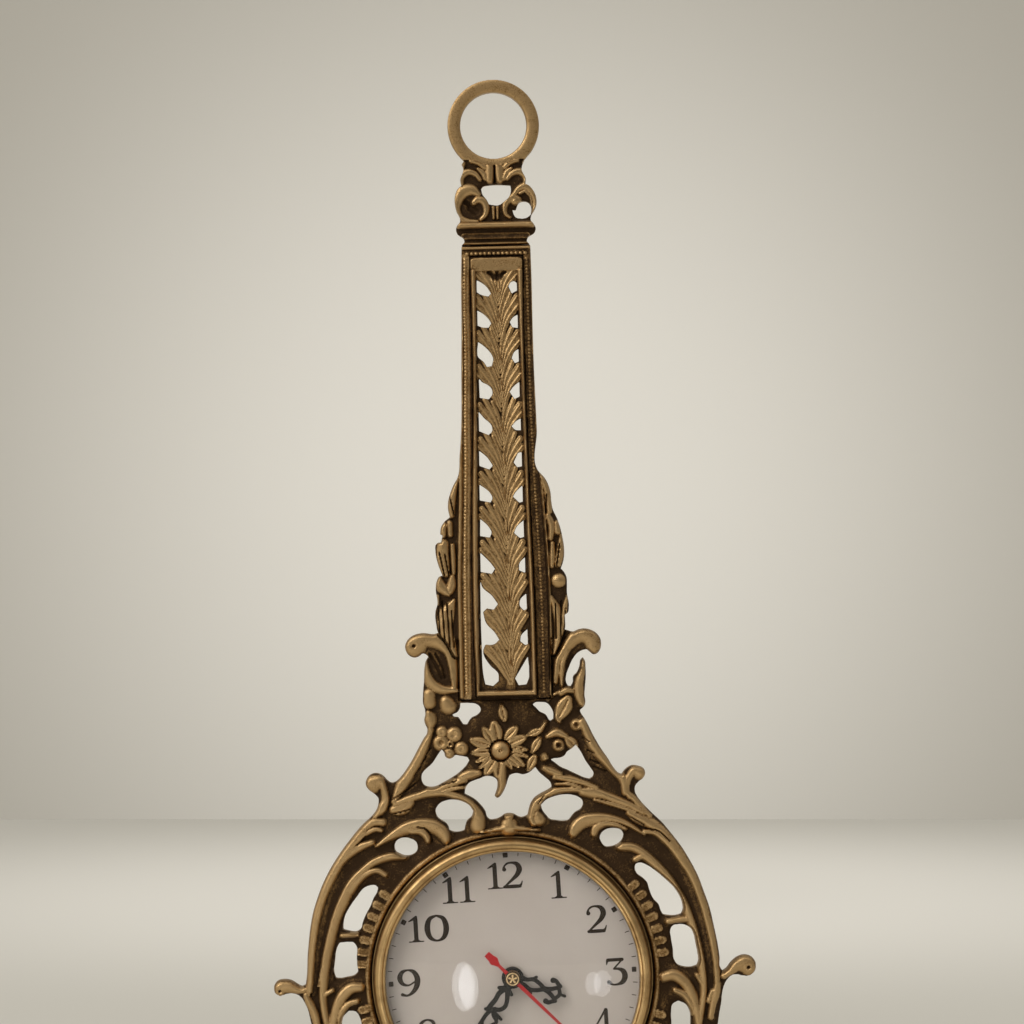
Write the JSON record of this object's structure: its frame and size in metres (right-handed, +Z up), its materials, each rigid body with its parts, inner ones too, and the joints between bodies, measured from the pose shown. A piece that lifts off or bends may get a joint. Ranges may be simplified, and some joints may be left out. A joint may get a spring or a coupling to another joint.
{
  "type": "cartel clock",
  "caption": "Pierced cast-brass cartel clock: a tall tapering openwork tower with a hanging ring over a round openwork dial frame, with a battery quartz movement behind the dial.",
  "frame": {"origin": "the point at the top of the ring's inside where a hook carries it, at mid thickness", "axes": "+Z up the wall, -Y towards the viewer, +X to the right as the dial is seen"},
  "size_m": [0.2074, 0.0377, 0.504],
  "materials": {
    "cast_brass": "cast, dark in the recesses and polished on the high parts",
    "turned_brass": "polished",
    "plated_steel": "zinc plated",
    "black_hands": "satin black paint",
    "red_hand": "satin red paint",
    "lens": "clear, domed",
    "dial_card": "matt printed card",
    "dial_plate": "rolled sheet",
    "case_plastic": "moulded black",
    "wheel_plastic": "moulded natural white",
    "rubber": "matt",
    "coil_copper": "enamelled winding",
    "circuit_board": "solder resist",
    "cell_jacket": "plain printed jacket"
  },
  "bodies": {
    "clock_body": {"dial_frame": "cast_brass", "tower_casting": "cast_brass", "leaf_grille": "cast_brass", "hanging_crest": "cast_brass", "daisy_boss": "cast_brass", "daisy_rivet": "turned_brass", "drum_screw_1": "plated_steel", "drum_screw_2": "plated_steel", "drum_screw_3": "plated_steel", "drum_screw_4": "plated_steel", "tower_screw_1": "plated_steel", "tower_screw_2": "plated_steel", "crest_screw_1": "plated_steel", "crest_screw_2": "plated_steel", "grille_screw_top": "plated_steel", "grille_screw_bottom": "plated_steel", "bezel": "turned_brass", "dome_lens": "lens", "dial_card": "dial_card", "dial_plate": "dial_plate", "rear_drum": "turned_brass", "movement_front_case": "case_plastic", "movement_back_case": "case_plastic", "bearing_plate": "wheel_plastic", "threaded_bush": "turned_brass", "rubber_washer": "rubber", "mounting_washer": "turned_brass", "mounting_nut": "turned_brass", "motor_stator": "plated_steel", "drive_coil": "coil_copper", "circuit_board": "circuit_board", "quartz_crystal": "plated_steel", "battery_contact_positive": "plated_steel", "battery_contact_negative": "plated_steel", "aa_cell": "cell_jacket"},
    "seconds_arbor": {"seconds_wheel": "wheel_plastic", "second_hand": "red_hand", "second_hand_cap": "turned_brass"},
    "minute_arbor": {"cannon_pinion": "turned_brass", "minute_hand": "black_hands", "minute_nut": "turned_brass"},
    "hour_pipe": {"hour_wheel": "wheel_plastic", "hour_hand": "black_hands"},
    "minute_wheel": {"minute_wheel": "wheel_plastic"},
    "setting_knob": {"setting_knob": "wheel_plastic"},
    "motor_rotor": {"motor_rotor": "wheel_plastic"},
    "intermediate_wheel": {"intermediate_wheel": "wheel_plastic"},
    "third_wheel": {"third_wheel": "wheel_plastic"},
    "centre_wheel": {"centre_wheel": "turned_brass"}
  },
  "joints": [
    {"name": "seconds_turn", "type": "hinge", "parent": "clock_body", "child": "seconds_arbor", "pos_m": [0, 0, -0.37999], "axis": [0, 1, 0], "continuous": true},
    {"name": "minute_turn", "type": "hinge", "parent": "clock_body", "child": "minute_arbor", "pos_m": [0, 0, -0.37999], "axis": [0, 1, 0], "continuous": true},
    {"name": "hour_turn", "type": "hinge", "parent": "clock_body", "child": "hour_pipe", "pos_m": [0, 0, -0.37999], "axis": [0, 1, 0], "continuous": true},
    {"name": "minute_wheel_turn", "type": "hinge", "parent": "clock_body", "child": "minute_wheel", "pos_m": [-0.00849, 0.007, -0.37509], "axis": [0, 1, 0], "continuous": true},
    {"name": "setting_knob_turn", "type": "hinge", "parent": "clock_body", "child": "setting_knob", "pos_m": [-0.01019, 0.02, -0.36544], "axis": [0, 1, 0], "continuous": true},
    {"name": "rotor_turn", "type": "hinge", "parent": "clock_body", "child": "motor_rotor", "pos_m": [0.00272, 0.015, -0.36496], "axis": [0, 1, 0], "continuous": true},
    {"name": "intermediate_turn", "type": "hinge", "parent": "clock_body", "child": "intermediate_wheel", "pos_m": [-0.00078, 0.013, -0.37102], "axis": [0, 1, 0], "continuous": true},
    {"name": "third_turn", "type": "hinge", "parent": "clock_body", "child": "third_wheel", "pos_m": [0.00799, 0.011, -0.37708], "axis": [0, 1, 0], "continuous": true},
    {"name": "centre_turn", "type": "hinge", "parent": "clock_body", "child": "centre_wheel", "pos_m": [0, 0.0095, -0.37999], "axis": [0, 1, 0], "continuous": true}
  ],
  "couplings": [
    {"joint": "intermediate_turn", "follows": "seconds_turn", "ratio": -5},
    {"joint": "rotor_turn", "follows": "seconds_turn", "ratio": 30},
    {"joint": "third_turn", "follows": "seconds_turn", "ratio": -0.125},
    {"joint": "centre_turn", "follows": "seconds_turn", "ratio": 0.016667},
    {"joint": "minute_wheel_turn", "follows": "minute_turn", "ratio": -0.33333},
    {"joint": "hour_turn", "follows": "minute_turn", "ratio": 0.083333},
    {"joint": "setting_knob_turn", "follows": "minute_turn", "ratio": 1}
  ]
}
